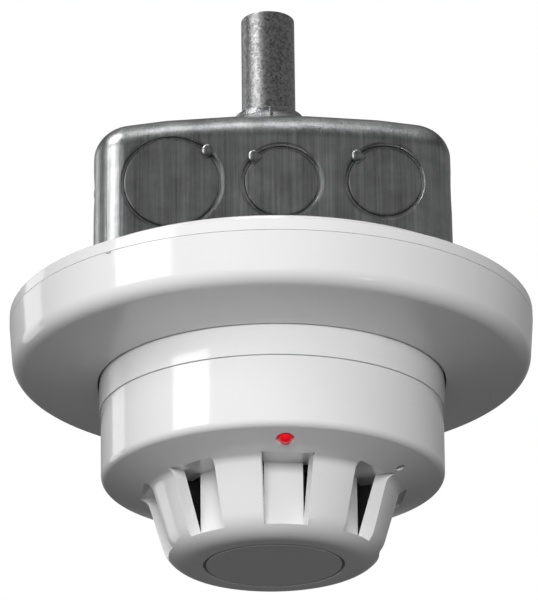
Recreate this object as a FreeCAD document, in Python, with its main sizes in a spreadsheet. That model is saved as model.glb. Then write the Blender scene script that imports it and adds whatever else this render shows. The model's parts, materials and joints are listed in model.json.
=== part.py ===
import FreeCAD, Part
import os
import re
import Sketcher

# A plug-in heat detector on its base, mounting plate and square steel box, with the
# connector and conduit stub that carry it.
# Millimetres, +Z up, detector nose down. The origin is the centre of the conduit's open top
# end. Heights in this file are measured from the top face of the mounting plate's rim, and
# every finished piece is then lowered by the distance from the conduit's end to that rim.
# Azimuths are degrees from the front (-Y) towards the right (+X).

SIZES = {
    # steel box and what fastens to it
    "box_side": 101.6, "box_depth": 41.3, "box_wall": 1.6, "box_corner": 10.5, "box_round": 10.0,
    "box_seat": 4.2, "ear_side": 14.0, "ear_reach": 42.5, "ear_hole": 1.7,
    "knockout_big": 14.15, "knockout_small": 11.1, "knockout_height": 17.6,
    "knockout_left": 28.7, "knockout_middle": 2.3, "knockout_right": 31.5,
    "knockout_sink": 0.5, "groove_width": 0.7, "groove_depth": 1.15, "tie_width": 3.0,
    "back_knockout": 30.0, "fixing_hole": 2.6, "fixing_spacing": 50.8,
    "ground_place": 24.0, "ground_shank": 2.4,
    # conduit and connector
    "conduit_radius": 8.0, "conduit_wall": 1.0, "conduit_reach": 50.5, "conduit_stop": 5.0,
    "mark_drop": 31.6, "mark_width": 0.9, "mark_depth": 0.3,
    "connector_throat": 6.3, "connector_thread": 10.5, "connector_hole": 11.1, "connector_body": 13.0,
    "shoulder": 7.0, "neck": 11.2, "neck_length": 4.5, "thread_length": 10.0, "nut_radius": 13.6,
    "nut_straight": 12.5, "nut_top": 18.4, "nut_lip": 10.4, "lip_height": 1.4, "nut_wall": 1.8,
    "nut_rib_angle": 7.0,
    "ring_length": 3.5, "ring_tip": 0.25, "ring_split": 1.5, "locknut_radius": 15.6, "locknut_thick": 3.0,
    "slide_gap": 0.12,
    # mounting plate
    "plate_radius": 76.2, "plate_rim": 3.4, "plate_web": 2.6, "plate_pad": 68.5, "plate_step": 2.0,
    "plate_edge": 2.3, "wire_hole": 25.0, "screw_slot": 2.4,
    # trim flange
    "seam": 0.25, "trim_foot": 75.0, "trim_drop": 17.8, "trim_round": 4.7, "trim_wall": 2.3,
    "trim_mouth_drop": 21.2, "trim_gap": 0.35, "finger_thick": 1.5, "finger_drop": 9.0,
    "finger_angle": 5.0, "notch_width": 2.2, "notch_height": 0.9, "notch_depth": 1.4,
    "notch_azimuth": -37.3,
    # detector base
    "base_radius": 50.1, "base_drop": 29.8, "base_wall": 2.2, "base_top": 2.4, "base_hole": 18.0,
    "ledge_reach": 2.3, "ledge_height": 1.6, "ledge_rise": 4.4, "ledge_angle": 9.0,
    "base_screw_place": 26.0,
    # head
    "head_gap": 0.3, "head_inset": 0.5, "head_draft": 0.2, "head_height": 20.4, "head_round": 2.2,
    "head_wall": 2.3, "nose_root": 36.2, "cone_height": 4.8, "nose_foot": 30.0, "nose_height": 20.5,
    "nose_round": 8.5, "root_round": 3.0, "petal_thick": 3.6, "ceiling_rise": 1.7,
    "ceiling_thick": 2.1, "floor_thick": 2.5, "vent_floor_rise": 2.8, "vent_half_angle": 11.6,
    "vent_azimuth": 5.3, "vent_count": 8, "vent_reach": 37.6,
    "panel_face": 26.0, "panel_thick": 1.2, "panel_half": 6.2,
    "chamber_hole": 25.1, "disc_radius": 19.6, "disc_gap": 0.6, "disc_thick": 1.3,
    "boss_inset": 10.1, "boss_radius": 3.0, "boss_bore": 1.2, "boss_azimuth": 50.0,
    "lamp_inset": 6.9, "lamp_azimuth": 3.4, "lamp_radius": 2.05, "bezel_radius": 2.6, "lamp_sink": 1.2,
    "lock_inset": 9.1, "lock_azimuth": 59.9, "lock_hole": 1.25,
    # chassis behind the head cover
    "neck_gap": 2.8, "chassis_rise": 6.9, "chassis_wall": 2.1, "chassis_flange": 2.2,
    "chassis_fit": 0.2, "lug_reach": 2.2, "lug_height": 2.0, "lug_angle": 8.0, "lug_azimuth": 20.0,
    "standoff_radius": 2.2, "standoff_place": 28.0,
    # electrical contact between the base and the head
    "contact_inset": 14.1, "contact_azimuth": 80.0, "blade_thick": 0.8, "blade_height": 9.4,
    "blade_angle": 8.0, "leaf_thick": 0.5, "leaf_gap": 0.3, "leaf_angle": 5.0, "leaf_clear": 3.9,
    "clip_thick": 0.8, "clip_width": 9.0, "clip_reach": 10.5, "clip_tail": 2.0, "terminal_inset": 6.0,
    "clamp_side": 7.5, "clamp_thick": 1.0, "terminal_head": 3.1, "terminal_head_height": 2.2,
    "terminal_shank": 1.7, "screw_head": 3.0, "screw_head_height": 2.0, "screw_shank": 1.5,
    # electronics and sensing element
    "board_inset": 2.3, "board_hang": 13.4, "board_thick": 1.6, "board_notch": 3.6,
    "chip_side": 9.0, "chip_height": 1.4, "chip_place": 16.0, "capacitor_radius": 3.2,
    "capacitor_height": 7.5, "capacitor_place": 22.0, "header_length": 12.0, "header_width": 4.0,
    "header_height": 6.0, "emitter_side": 2.6, "emitter_height": 1.1,
    "baffle_radius": 24.3, "baffle_wall": 1.2, "baffle_flange": 30.0, "baffle_flange_thick": 1.0,
    "baffle_rise": 4.0, "baffle_window": 15.0, "window_rise": 1.0,
    "rib_angle": 1.8, "rib_gap": 0.5, "holder_top": 4.0, "holder_tip": 2.4, "holder_reach": 3.0,
    "bead_radius": 1.5, "bead_reach": 11.0, "lead_radius": 0.35, "lead_spread": 0.8,
}

doc = FreeCAD.newDocument("HeatDetector")
sheet = doc.addObject("Spreadsheet::Sheet", "sizes")
for row, (alias, number) in enumerate(SIZES.items(), start=1):
    sheet.set(f"A{row}", alias)
    sheet.set(f"B{row}", str(number))
    sheet.setAlias(f"B{row}", alias)
doc.recompute()

UP = FreeCAD.Vector(0, 0, 1)
ORIGIN = FreeCAD.Vector(0, 0, 0)
nodes = []


# ---- sizes as text: one text gives both the number and the bound expression ----

def value(text):
    """The number that a size text stands for: sums of numbers, sizes and number*size."""
    total = 0.0
    for sign, term in re.findall(r"([+-]?)\s*([\w.*]+)", str(text)):
        product = 1.0
        for factor in term.split("*"):
            product *= sheet.get(factor) if factor[0].isalpha() else float(factor)
        total += -product if sign == "-" else product
    return total


def expression(text):
    return re.sub(r"[A-Za-z]\w*", lambda found: "sizes." + found.group(), str(text))


def bind(thing, prop, text):
    thing.setExpression(prop, expression(text))


def turned(azimuth):
    """The rotation that carries +X to an azimuth."""
    return FreeCAD.Rotation(UP, azimuth - 90.0)


def at_azimuth(azimuth, reach, height=0.0):
    return turned(azimuth).multVec(FreeCAD.Vector(reach, 0, height))


# ---- building blocks ----

def make(kind, name, **sizes):
    thing = doc.addObject(kind, name)
    for prop, text in sizes.items():
        bind(thing, prop, text)
    return thing


def cylinder(name, radius, low, high, place=ORIGIN):
    """An upright cylinder between two heights."""
    thing = make("Part::Cylinder", name, Radius=radius, Height=f"{high} - ({low})")
    thing.Placement.Base = place + UP * value(low)
    return thing


def sector(name, inner, outer, low, high, azimuth, half_angle):
    """A piece of a ring, centred on an azimuth."""
    height = f"{high} - ({low})"
    whole = make("Part::Cylinder", name + "Outer", Radius=outer, Height=height, Angle=f"2*{half_angle}")
    hollow = make("Part::Cylinder", name + "Inner", Radius=inner, Height=height, Angle=f"2*{half_angle}")
    turn = turned(azimuth - value(half_angle))
    for thing in (whole, hollow):
        thing.Placement = FreeCAD.Placement(UP * value(low), turn)
    return cut(name, whole, [hollow])


def block(name, length, width, height, low, azimuth, reach, side="0"):
    """A box that starts at a reach from the axis, along an azimuth."""
    thing = make("Part::Box", name, Length=length, Width=width, Height=height)
    corner = FreeCAD.Vector(value(reach), value(side) - value(width) / 2, value(low))
    turn = turned(azimuth)
    thing.Placement = FreeCAD.Placement(turn.multVec(corner), turn)
    return thing


def cut(name, base, tools):
    thing = doc.addObject("Part::Cut", name)
    thing.Base = base
    thing.Tool = tools[0] if len(tools) == 1 else fuse(name + "Tools", tools)
    return thing


def fuse(name, pieces):
    thing = doc.addObject("Part::MultiFuse", name)
    thing.Shapes = pieces
    return thing


def group(name, pieces):
    """Separate solids that share one node."""
    thing = doc.addObject("Part::Compound", name)
    thing.Links = pieces
    return thing


def plane_of(body, role):
    return next(p for p in body.Origin.OriginFeatures if p.Role == role)


def outline(body, name, plane, points):
    """A closed sketch whose corners are held by size texts."""
    sketch = body.newObject("Sketcher::SketchObject", name)
    sketch.AttachmentSupport = [(plane_of(body, plane), "")]
    sketch.MapMode = "FlatFace"
    corners = [FreeCAD.Vector(value(x), value(y), 0) for x, y in points]
    for here, there in zip(corners, corners[1:] + corners[:1]):
        sketch.addGeometry(Part.LineSegment(here, there), False)
    count = len(points)
    for index in range(count):
        following = (index + 1) % count
        sketch.addConstraint(Sketcher.Constraint("Coincident", index, 2, following, 1))
    for index, (x, y) in enumerate(points):
        for kind, text in (("DistanceX", x), ("DistanceY", y)):
            held = Sketcher.Constraint(kind, -1, 1, index, 1, value(text))
            number = sketch.addConstraint(held)
            sketch.setExpression(f"Constraints[{number}]", expression(text))
    return sketch


def turned_body(name, points, rounds=(), angle=360.0, azimuth=0.0):
    """A turned piece: the outline is (radius, height) corners, rounds are (corner, radius)."""
    body = doc.addObject("PartDesign::Body", name)
    sketch = outline(body, name + "Outline", "XZ_Plane", points)
    turn = body.newObject("PartDesign::Revolution", name + "Turn")
    turn.Profile = sketch
    turn.ReferenceAxis = (sketch, ["V_Axis"])
    turn.Angle = angle
    turn.Midplane = angle < 360.0
    doc.recompute()
    last = turn
    for number, (corner, radius) in enumerate(rounds):
        ring = [value(text) for text in points[corner]]
        edges = [f"Edge{i}" for i, edge in enumerate(last.Shape.Edges, start=1)
                 if is_ring(edge, ring[0], ring[1])]
        last = body.newObject("PartDesign::Fillet", f"{name}Round{number}")
        last.Base = (body.Group[-2], edges)
        bind(last, "Radius", radius)
        doc.recompute()
    body.Tip = last
    if angle < 360.0:
        body.Placement = FreeCAD.Placement(ORIGIN, turned(azimuth))
    return body


def is_ring(edge, radius, height):
    curve = edge.Curve
    if not isinstance(curve, Part.Circle):
        return False
    return abs(curve.Radius - radius) < 1e-4 and abs(curve.Center.z - height) < 1e-4


def node(thing, label):
    """Names a finished piece and lowers it into the part's frame."""
    thing.Label = label
    thing.Placement.Base = thing.Placement.Base - UP * value(DROP)
    nodes.append(thing)
    return thing


# ---- places worked out from the sizes ----

BACK = "box_seat + box_depth"
INSIDE_BACK = "box_seat + box_depth - box_wall"
DROP = "box_seat + box_depth + conduit_reach"
WEB_UNDER = "box_seat - plate_web"
BASE_UNDER = "box_seat - plate_web - base_top"
BASE_INSIDE = "base_radius - base_wall"
LEDGE = "0 - base_drop + ledge_rise"
HEAD_TOP = "0 - base_drop - head_gap"
HEAD_RADIUS = "base_radius - head_inset"
HEAD_FOOT = "base_radius - head_inset - head_draft"
HEAD_LOW = "0 - base_drop - head_height"
ROOT = f"{HEAD_LOW} - cone_height"
CEILING = f"{ROOT} + ceiling_rise"
CEILING_TOP = f"{CEILING} + ceiling_thick"
NOSE_LOW = f"{ROOT} - nose_height"
VENT_FLOOR = f"{NOSE_LOW} + vent_floor_rise"
DISC_SEAT = f"{NOSE_LOW} + disc_thick"
CHASSIS_TOP = "0 - base_drop + chassis_rise"
CHASSIS_UNDER = f"{CHASSIS_TOP} - chassis_wall"
CHASSIS_NECK = f"{BASE_INSIDE} - neck_gap"
BOSS_PLACE = "base_radius - boss_inset"
LAMP_PLACE = "base_radius - lamp_inset"
BOARD_TOP = f"{CHASSIS_UNDER} - board_hang"
BOARD_UNDER = f"{BOARD_TOP} - board_thick"
CONTACT_PLACE = "base_radius - contact_inset"
CLIP_INNER = f"{CONTACT_PLACE} - clip_reach"
TERMINAL_PLACE = f"{CONTACT_PLACE} - terminal_inset"
LEAF_LOW = f"{CHASSIS_TOP} + leaf_clear"
BAFFLE_LOW = f"{NOSE_LOW} + baffle_rise"
HOLDER_LOW = f"{ROOT} - holder_reach"
BEAD = f"{ROOT} - bead_reach"
THIRDS = [0.0, 120.0, 240.0]


# ---- conduit and connector ----

def conduit():
    foot = f"{BACK} + conduit_stop"
    inner = "conduit_radius - conduit_wall"
    mark_top = f"{DROP} - mark_drop"
    mark_low = f"{mark_top} - mark_width"
    scribed = "conduit_radius - mark_depth"
    tube = turned_body("Conduit", [
        (inner, foot), ("conduit_radius", foot), ("conduit_radius", mark_low), (scribed, mark_low),
        (scribed, mark_top), ("conduit_radius", mark_top), ("conduit_radius", DROP), (inner, DROP)])
    node(tube, "conduit")


def connector():
    socket = "conduit_radius + slide_gap"
    neck_top = f"{BACK} + shoulder + neck_length"
    tail = f"{INSIDE_BACK} - thread_length"
    body = turned_body("ConnectorBody", [
        ("connector_throat", tail), ("connector_thread", tail), ("connector_thread", BACK),
        ("connector_body", BACK), ("connector_body", f"{BACK} + shoulder"),
        ("neck", f"{BACK} + shoulder"), ("neck", neck_top), (socket, neck_top),
        (socket, f"{BACK} + conduit_stop"), ("connector_throat", f"{BACK} + conduit_stop")])
    node(body, "connector_body")

    nut_foot = f"{BACK} + shoulder + 0.5"
    shoulder_top = f"{BACK} + nut_top - lip_height"
    shell = turned_body("GlandNut", [
        ("neck + slide_gap", nut_foot), ("nut_radius", nut_foot),
        ("nut_radius", f"{BACK} + nut_straight"), ("nut_lip", shoulder_top),
        ("nut_lip", f"{BACK} + nut_top"), (socket, f"{BACK} + nut_top"),
        (socket, f"{BACK} + nut_top - nut_wall"), ("neck + slide_gap", f"{BACK} + nut_straight")],
        rounds=[(2, "nut_wall")])
    ribs = [turned_body(f"NutRib{n}", [
        ("nut_radius - 1", f"{BACK} + nut_straight"), ("nut_radius", f"{BACK} + nut_straight"),
        ("nut_lip + 0.9", shoulder_top), ("nut_lip - 0.1", shoulder_top)],
        angle=value("nut_rib_angle"), azimuth=azimuth) for n, azimuth in enumerate((2.0, 182.0))]
    node(fuse("GlandNutRibbed", [shell] + ribs), "connector_nut")

    ring_foot = f"{neck_top} + 0.3"
    ring = turned_body("CompressionRing", [
        (socket, ring_foot), ("neck - 0.4", ring_foot),
        (f"{socket} + ring_tip", f"{ring_foot} + ring_length"), (socket, f"{ring_foot} + ring_length")])
    gap = block("RingGap", "nut_radius", "ring_split", "2*ring_length", f"{ring_foot} - ring_length*0.5",
                30.0, "0")
    node(cut("SplitRing", ring, [gap]), "compression_ring")

    top = INSIDE_BACK
    low = f"{INSIDE_BACK} - locknut_thick"
    blank = turned_body("LocknutBlank", [
        ("connector_thread + slide_gap", low), ("locknut_radius", low), ("locknut_radius", top),
        ("connector_thread + slide_gap", top)])
    teeth = [block(f"LocknutGap{n}", "4", "2.6", "2*locknut_thick", f"{low} - locknut_thick*0.5",
                   n * 45.0, "locknut_radius - 1.6") for n in range(8)]
    node(cut("Locknut", blank, teeth), "connector_locknut")


# ---- steel box ----

def rounded_block(name, side, low, height, corner, crown):
    """An open-bottomed block with rounded upright edges and a rounded top edge."""
    blank = make("Part::Box", name + "Blank", Length=side, Width=side, Height=height)
    half = value(side) / 2
    blank.Placement.Base = FreeCAD.Vector(-half, -half, value(low))
    doc.recompute()
    top = value(low) + value(height)
    rounds = []
    for index, edge in enumerate(blank.Shape.Edges, start=1):
        ends = [vertex.Z for vertex in edge.Vertexes]
        if abs(ends[0] - ends[1]) > 1e-6:
            rounds.append((index, value(corner), value(corner)))
        elif abs(ends[0] - top) < 1e-6:
            rounds.append((index, value(crown), value(crown)))
    thing = doc.addObject("Part::Fillet", name)
    thing.Base = blank
    thing.Edges = rounds
    return thing


def knockout(name, radius, tie_azimuth, turn, place):
    """The sunk disc and its groove, less the tie that still holds the disc, ready to cut."""
    sink = make("Part::Cylinder", name + "Sink", Radius=radius, Height="knockout_sink + 1")
    rim = make("Part::Cylinder", name + "Rim", Radius=radius, Height="groove_depth + 1")
    core = make("Part::Cylinder", name + "Core", Radius=f"{radius} - groove_width",
                Height="groove_depth + 1")
    sink.Placement.Base = UP * -value("knockout_sink")
    rim.Placement.Base = UP * -value("groove_depth")
    core.Placement.Base = UP * -value("groove_depth")
    tie = make("Part::Box", name + "Tie", Length="4*groove_width", Width="tie_width",
               Height="groove_depth + 1")
    turn_tie = FreeCAD.Rotation(UP, tie_azimuth)
    corner = FreeCAD.Vector(value(radius) - 2 * value("groove_width"), -value("tie_width") / 2,
                            -value("groove_depth"))
    tie.Placement = FreeCAD.Placement(turn_tie.multVec(corner), turn_tie)
    groove = cut(name + "Groove", rim, [core])
    whole = fuse(name + "Whole", [sink, groove])
    tool = cut(name, whole, [tie])
    tool.Placement = FreeCAD.Placement(place, turn)
    return tool


def junction_box():
    outer = rounded_block("BoxOuter", "box_side", "box_seat", "box_depth", "box_corner", "box_round")
    inner = rounded_block("BoxInner", "box_side - 2*box_wall", "box_seat - 10",
                          "box_depth - box_wall + 10", "box_corner - box_wall", "box_round - box_wall")
    shell = cut("BoxShell", outer, [inner])

    half = value("box_side") / 2
    level = value("box_seat + knockout_height")
    tools = []
    layout = [("Left", "knockout_big", -value("knockout_left"), 40.0),
              ("Middle", "knockout_small", value("knockout_middle"), 140.0),
              ("Right", "knockout_small", value("knockout_right"), 140.0)]
    for side in range(4):
        face = FreeCAD.Rotation(UP, 90.0 * side) * FreeCAD.Rotation(FreeCAD.Vector(1, 0, 0), 90)
        for which, radius, across, tie in layout:
            place = FreeCAD.Rotation(UP, 90.0 * side).multVec(FreeCAD.Vector(across, -half, level))
            tools.append(knockout(f"Knockout{which}{side}", radius, tie, face, place))
    back = value(BACK)
    for number, across in enumerate((-1, 1)):
        place = FreeCAD.Vector(0, across * value("back_knockout"), back)
        tools.append(knockout(f"KnockoutBack{number}", "knockout_small", 90.0, FreeCAD.Rotation(), place))
    low, high = f"{INSIDE_BACK} - 1", f"{BACK} + 1"
    tools.append(cylinder("ConnectorHole", "connector_hole", low, high))
    spacing = value("fixing_spacing") / 2
    for number, (x, y) in enumerate(((-1, -1), (1, -1), (-1, 1), (1, 1))):
        place = FreeCAD.Vector(x * spacing, y * spacing, 0)
        tools.append(cylinder(f"FixingHole{number}", "fixing_hole", low, high, place))
    tools.append(cylinder("GroundHole", "ground_shank + slide_gap", low, high,
                          FreeCAD.Vector(-value("ground_place"), 0, 0)))
    pierced = cut("BoxPierced", shell, tools)

    ears = []
    for number, sign in enumerate((-1, 1)):
        reach = sign * value("ear_reach")
        blank = make("Part::Box", f"Ear{number}", Length="ear_side", Width="ear_side", Height="box_wall")
        blank.Placement.Base = FreeCAD.Vector(reach - value("ear_side") / 2,
                                              reach - value("ear_side") / 2, value("box_seat"))
        hole = cylinder(f"EarHole{number}", "ear_hole", "box_seat - 1", "box_seat + box_wall + 1",
                        FreeCAD.Vector(reach, reach, 0))
        drilled = cut(f"EarDrilled{number}", blank, [hole])
        trimmed = doc.addObject("Part::Common", f"EarTrimmed{number}")
        trimmed.Base = drilled
        trimmed.Tool = outer
        ears.append(trimmed)
    node(fuse("JunctionBox", [pierced] + ears), "junction_box")


def screw(name, place, seat, head, head_height, shank, tip):
    """A screw whose head is below its seat and whose shank runs up to the tip."""
    cap = cylinder(name + "Head", head, f"{seat} - {head_height}", seat, place)
    slot = make("Part::Box", name + "Slot", Length=f"4*{head}", Width="0.8", Height=head_height)
    slot.Placement.Base = place + FreeCAD.Vector(-2 * value(head), -0.4,
                                                 value(seat) - 1.55 * value(head_height))
    stem = cylinder(name + "Shank", shank, f"{seat} - 0.3*{head_height}", tip, place)
    return fuse(name, [cut(name + "Slotted", cap, [slot]), stem])


def box_screws():
    place = FreeCAD.Vector(-value("ground_place"), 0, 0)
    earth = screw("GroundScrew", place, INSIDE_BACK, "4.6", "terminal_head_height", "ground_shank",
                  f"{BACK} + 1.5")
    node(earth, "ground_screw")
    reach = value("ear_reach")
    pair = [screw(f"PlateScrew{n}", FreeCAD.Vector(s * reach, s * reach, 0), WEB_UNDER, "4.0",
                  "screw_head_height", "ear_hole - slide_gap", "box_seat + box_wall + 4")
            for n, s in enumerate((-1, 1))]
    node(group("PlateScrews", pair), "plate_screws")


# ---- mounting plate and trim flange ----

def mounting_plate():
    edge_inside = "plate_radius - plate_edge"
    step = "plate_pad + plate_step"
    plate = turned_body("PlateDisc", [
        ("wire_hole", "box_seat"), ("plate_pad", "box_seat"), (step, "0"), ("plate_radius", "0"),
        ("plate_radius", "0 - plate_rim"), (edge_inside, "0 - plate_rim"),
        (edge_inside, "0 - plate_rim + 1.2"), (f"{step} - 1.1", "0 - plate_rim + 1.2"),
        ("plate_pad - 1.7", WEB_UNDER), ("wire_hole", WEB_UNDER)])
    low, high = f"{WEB_UNDER} - 1", "box_seat + 1"
    holes = []
    reach = value("ear_reach")
    for number, sign in enumerate((-1, 1)):
        holes.append(cylinder(f"PlateSlot{number}", "screw_slot", low, high,
                              FreeCAD.Vector(sign * reach, sign * reach, 0)))
    for number, azimuth in enumerate(THIRDS):
        holes.append(cylinder(f"PlateHole{number}", "screw_shank + slide_gap", low, high,
                              at_azimuth(azimuth, value("base_screw_place"))))
    spots = [cylinder(f"PlateBoss{n}", "screw_shank + 2", WEB_UNDER, "box_seat + 0.001",
                      at_azimuth(azimuth, value("base_screw_place") + 2))
             for n, azimuth in enumerate(THIRDS)]
    node(cut("MountingPlate", fuse("PlateBossed", [plate] + spots), holes), "mounting_plate")


def trim_flange():
    lip = "0 - plate_rim - seam"
    mouth = "base_radius + trim_gap"
    ring = turned_body("TrimRing", [
        ("plate_radius", lip), ("trim_foot", "0 - trim_drop"), (mouth, "0 - trim_mouth_drop"),
        (mouth, "0 - trim_mouth_drop + trim_wall"), ("trim_foot - trim_wall", "0 - trim_drop + trim_wall"),
        ("plate_radius - trim_wall", lip)],
        rounds=[(1, "trim_round"), (4, "trim_round - trim_wall"), (2, "0.6")])
    inside = "plate_radius - plate_edge - leaf_gap"
    fingers = []
    for number in range(4):
        azimuth = 45.0 + 90.0 * number
        fingers.append(sector(f"Finger{number}", f"{inside} - finger_thick", inside,
                              "0 - finger_drop", "0 - plate_rim + 0.8", azimuth, "finger_angle"))
        fingers.append(sector(f"FingerRoot{number}", f"{inside} - finger_thick", "trim_foot - 0.5",
                              "0 - finger_drop", "0 - finger_drop + 3.5", azimuth, "finger_angle"))
    notch = block("PryNotch", "6", "notch_width", "notch_height + 1",
                  "0 - plate_rim - seam - notch_height", value("notch_azimuth"),
                  "plate_radius - notch_depth")
    node(cut("TrimFlange", fuse("TrimFingered", [ring] + fingers), [notch]), "trim_flange")


# ---- detector base and its terminals ----

def detector_base():
    cup = turned_body("BaseCup", [
        ("base_hole", WEB_UNDER), ("base_radius", WEB_UNDER), ("base_radius", "0 - base_drop"),
        (BASE_INSIDE, "0 - base_drop"), (BASE_INSIDE, BASE_UNDER), ("base_hole", BASE_UNDER)],
        rounds=[(2, "0.5")])
    ledges = [sector(f"Ledge{n}", f"{BASE_INSIDE} - ledge_reach", f"{BASE_INSIDE} + 0.8",
                     f"{LEDGE} - ledge_height", LEDGE, value("lug_azimuth") + a,
                     "ledge_angle") for n, a in enumerate(THIRDS)]
    holes = []
    for number, azimuth in enumerate(THIRDS):
        holes.append(cylinder(f"BaseHole{number}", "screw_shank + slide_gap", f"{BASE_UNDER} - 1",
                              f"{WEB_UNDER} + 1", at_azimuth(azimuth, value("base_screw_place"))))
        holes.append(cylinder(f"TerminalHole{number}", "terminal_shank + slide_gap",
                              f"{BASE_UNDER} - 1", f"{BASE_UNDER} + 1.8",
                              at_azimuth(value("contact_azimuth") + azimuth, value(TERMINAL_PLACE))))
    node(cut("DetectorBase", fuse("BaseLedged", [cup] + ledges), holes), "detector_base")
    screws = [screw(f"BaseScrew{n}", at_azimuth(a, value("base_screw_place")), BASE_UNDER, "screw_head",
                    "screw_head_height", "screw_shank", "box_seat + 3") for n, a in enumerate(THIRDS)]
    node(group("BaseScrews", screws), "base_screws")


def terminals():
    clips, clamps, screws = [], [], []
    leaf_out = f"{CONTACT_PLACE} + blade_thick*0.5 + leaf_gap"
    leaf_in = f"{CONTACT_PLACE} - blade_thick*0.5 - leaf_gap"
    clip_under = f"{BASE_UNDER} - clip_thick"
    clamp_under = f"{clip_under} - clamp_thick"
    for number, third in enumerate(THIRDS):
        azimuth = value("contact_azimuth") + third
        place = at_azimuth(azimuth, value(TERMINAL_PLACE))
        foot = block(f"ClipFoot{number}", "clip_reach + clip_tail", "clip_width", "clip_thick",
                     clip_under, azimuth, CLIP_INNER)
        outer = sector(f"LeafOut{number}", leaf_out, f"{leaf_out} + leaf_thick", LEAF_LOW,
                       f"{clip_under} + 0.2", azimuth, "leaf_angle")
        inner = sector(f"LeafIn{number}", f"{leaf_in} - leaf_thick", leaf_in, LEAF_LOW,
                       f"{clip_under} + 0.2", azimuth, "leaf_angle")
        hole = cylinder(f"ClipHole{number}", "terminal_shank + slide_gap", f"{clip_under} - 1",
                        f"{BASE_UNDER} + 1", place)
        clips.append(cut(f"Clip{number}", fuse(f"ClipWhole{number}", [foot, outer, inner]), [hole]))
        plate = block(f"ClampPlate{number}", "clamp_side", "clamp_side", "clamp_thick", clamp_under,
                      azimuth, f"{TERMINAL_PLACE} - clamp_side*0.5")
        bore = cylinder(f"ClampHole{number}", "terminal_shank + slide_gap", f"{clamp_under} - 1",
                        f"{clip_under} + 1", place)
        clamps.append(cut(f"Clamp{number}", plate, [bore]))
        screws.append(screw(f"TerminalScrew{number}", place, clamp_under, "terminal_head",
                            "terminal_head_height", "terminal_shank", f"{BASE_UNDER} + 1.5"))
    node(group("TerminalClips", clips), "terminal_clips")
    node(group("WireClamps", clamps), "wire_clamps")
    node(group("TerminalScrews", screws), "terminal_screws")


# ---- detector head ----

def head_cover():
    shell_in = f"{HEAD_RADIUS} - head_wall"
    floor_top = f"{DISC_SEAT} + floor_thick"
    disc_hole = "disc_radius + disc_gap"
    shell = turned_body("CoverShell", [
        (HEAD_RADIUS, HEAD_TOP), (HEAD_FOOT, HEAD_LOW), ("nose_root", ROOT), ("nose_foot", NOSE_LOW),
        (disc_hole, NOSE_LOW), (disc_hole, DISC_SEAT), ("0", DISC_SEAT), ("0", floor_top),
        ("nose_foot - petal_thick", floor_top), ("nose_root - petal_thick", CEILING),
        ("chamber_hole", CEILING), ("chamber_hole", CEILING_TOP), ("nose_root + 4", CEILING_TOP),
        (f"{HEAD_FOOT} - head_wall", f"{HEAD_LOW} + head_wall"), (shell_in, HEAD_TOP)],
        rounds=[(1, "head_round"), (2, "root_round"), (3, "nose_round"), (0, "0.4")])
    count = int(value("vent_count"))
    pitch = 360.0 / count
    vents, panels = [], []
    for number in range(count):
        azimuth = value("vent_azimuth") + number * pitch
        wedge = sector(f"Vent{number}", "panel_face*0.9", "vent_reach", VENT_FLOOR, CEILING, azimuth,
                       "vent_half_angle")
        core = block(f"VentCore{number}", "panel_face", "2*panel_face",
                     "nose_height + ceiling_rise + 5", f"{VENT_FLOOR} - 5", azimuth, "0")
        vents.append(cut(f"VentOpening{number}", wedge, [core]))
        panels.append(block(f"Panel{number}", "panel_thick", "2*panel_half",
                            "nose_height + ceiling_rise - vent_floor_rise + 1", f"{VENT_FLOOR} - 0.5",
                            azimuth, "panel_face - panel_thick"))
    bosses, bores = [], []
    for number, third in enumerate(THIRDS):
        place = at_azimuth(value("boss_azimuth") + third, value(BOSS_PLACE))
        bosses.append(cylinder(f"Boss{number}", "boss_radius", f"{CEILING_TOP} - 0.4",
                               f"{CHASSIS_UNDER} - 0.1", place))
        bores.append(cylinder(f"BossBore{number}", "boss_bore", f"{CHASSIS_UNDER} - 14",
                              f"{CHASSIS_UNDER} + 1", place))
    lamp_place = at_azimuth(value("lamp_azimuth"), value(LAMP_PLACE))
    lock_place = at_azimuth(value("lock_azimuth"), value("base_radius - lock_inset"))
    lamp = cylinder("LampHole", "bezel_radius", ROOT, f"{HEAD_LOW} + 3", lamp_place)
    lock = cylinder("LockHole", "lock_hole", ROOT, f"{HEAD_LOW} + 3", lock_place)
    opened = cut("CoverOpened", shell, vents + [lamp, lock])
    filled = fuse("CoverFilled", [opened] + panels + bosses)
    node(cut("HeadCover", filled, bores), "head_cover")


def nose_disc():
    disc = turned_body("NoseDisc", [
        ("0", DISC_SEAT), ("disc_radius", DISC_SEAT), ("disc_radius", NOSE_LOW), ("0", NOSE_LOW)],
        rounds=[(2, "0.3")])
    node(disc, "nose_disc")


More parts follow.
